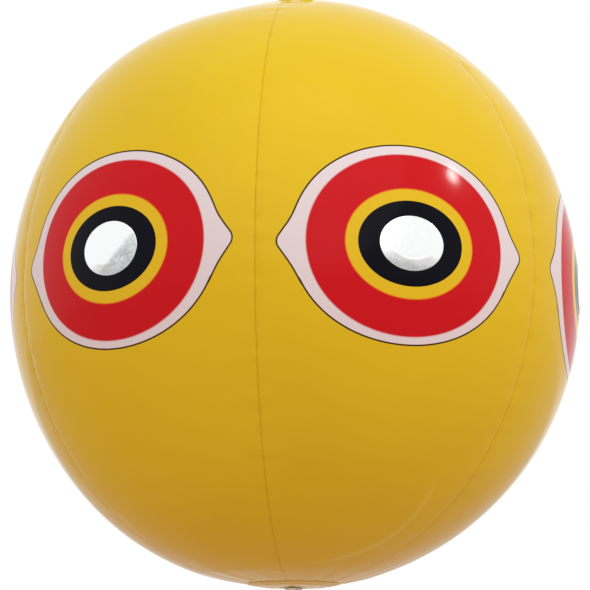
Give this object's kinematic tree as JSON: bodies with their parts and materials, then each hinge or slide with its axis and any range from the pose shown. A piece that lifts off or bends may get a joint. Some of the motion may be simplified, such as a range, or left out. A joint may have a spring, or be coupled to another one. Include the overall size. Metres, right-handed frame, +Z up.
{
  "type": "bird scare balloon",
  "caption": "Inflated vinyl bird scare ball of welded gores with printed ring eyes and foil pupils, a folding hang tab with an eyelet, and a push-in inflation valve.",
  "frame": {"origin": "centre of the hang eyelet's bore, at the top", "axes": "+Z up, +Y along the eyelet's bore towards the back; -Y faces a seam of the ball, with an eye 30 degrees to each side of it"},
  "size_m": [0.401, 0.3998, 0.4478],
  "materials": {
    "printed_vinyl": "glossy yellow film with flat printed eyes: white, red, gold and black ovals",
    "plain_vinyl": "glossy yellow film, unprinted",
    "silver_foil": "bright metallised film, slightly crinkled",
    "milky_vinyl": "soft moulded vinyl, milky",
    "brass": "pressed brass, satin"
  },
  "bodies": {
    "hanger": {"hang_tab": "plain_vinyl", "eyelet": "brass", "eyelet_washer": "brass"},
    "balloon": {"gore_panel_1": "printed_vinyl", "gore_panel_2": "printed_vinyl", "gore_panel_3": "printed_vinyl", "gore_panel_4": "printed_vinyl", "gore_panel_5": "printed_vinyl", "gore_panel_6": "printed_vinyl", "top_disc": "plain_vinyl", "bottom_disc": "plain_vinyl", "hang_tab_patch": "plain_vinyl", "foil_pupil_1": "silver_foil", "foil_pupil_2": "silver_foil", "foil_pupil_3": "silver_foil", "foil_pupil_4": "silver_foil", "foil_pupil_5": "silver_foil", "foil_pupil_6": "silver_foil", "valve_flange": "milky_vinyl", "valve_web": "milky_vinyl"},
    "valve_stem": {"valve_stem": "milky_vinyl", "plug_strap": "milky_vinyl"},
    "valve_plug": {"valve_plug": "milky_vinyl"},
    "check_flap": {"check_flap": "milky_vinyl"}
  },
  "joints": [
    {"name": "tab_fold", "type": "hinge", "parent": "hanger", "child": "balloon", "pos_m": [0, 0, -0.018], "axis": [1, 0, 0], "range_deg": [-60, 60]},
    {"name": "stem_pull", "type": "slide", "parent": "balloon", "child": "valve_stem", "axis": [0, 0, -1], "range_m": [0, 0.016], "deforming": ["valve_web"]},
    {"name": "plug_pull", "type": "slide", "parent": "valve_stem", "child": "valve_plug", "axis": [0, 0, -1], "range_m": [0, 0.006], "deforming": ["plug_strap"]},
    {"name": "flap_open", "type": "hinge", "parent": "valve_stem", "child": "check_flap", "pos_m": [0, -0.005, -0.4235], "axis": [1, 0, 0], "range_deg": [0, 60]}
  ]
}
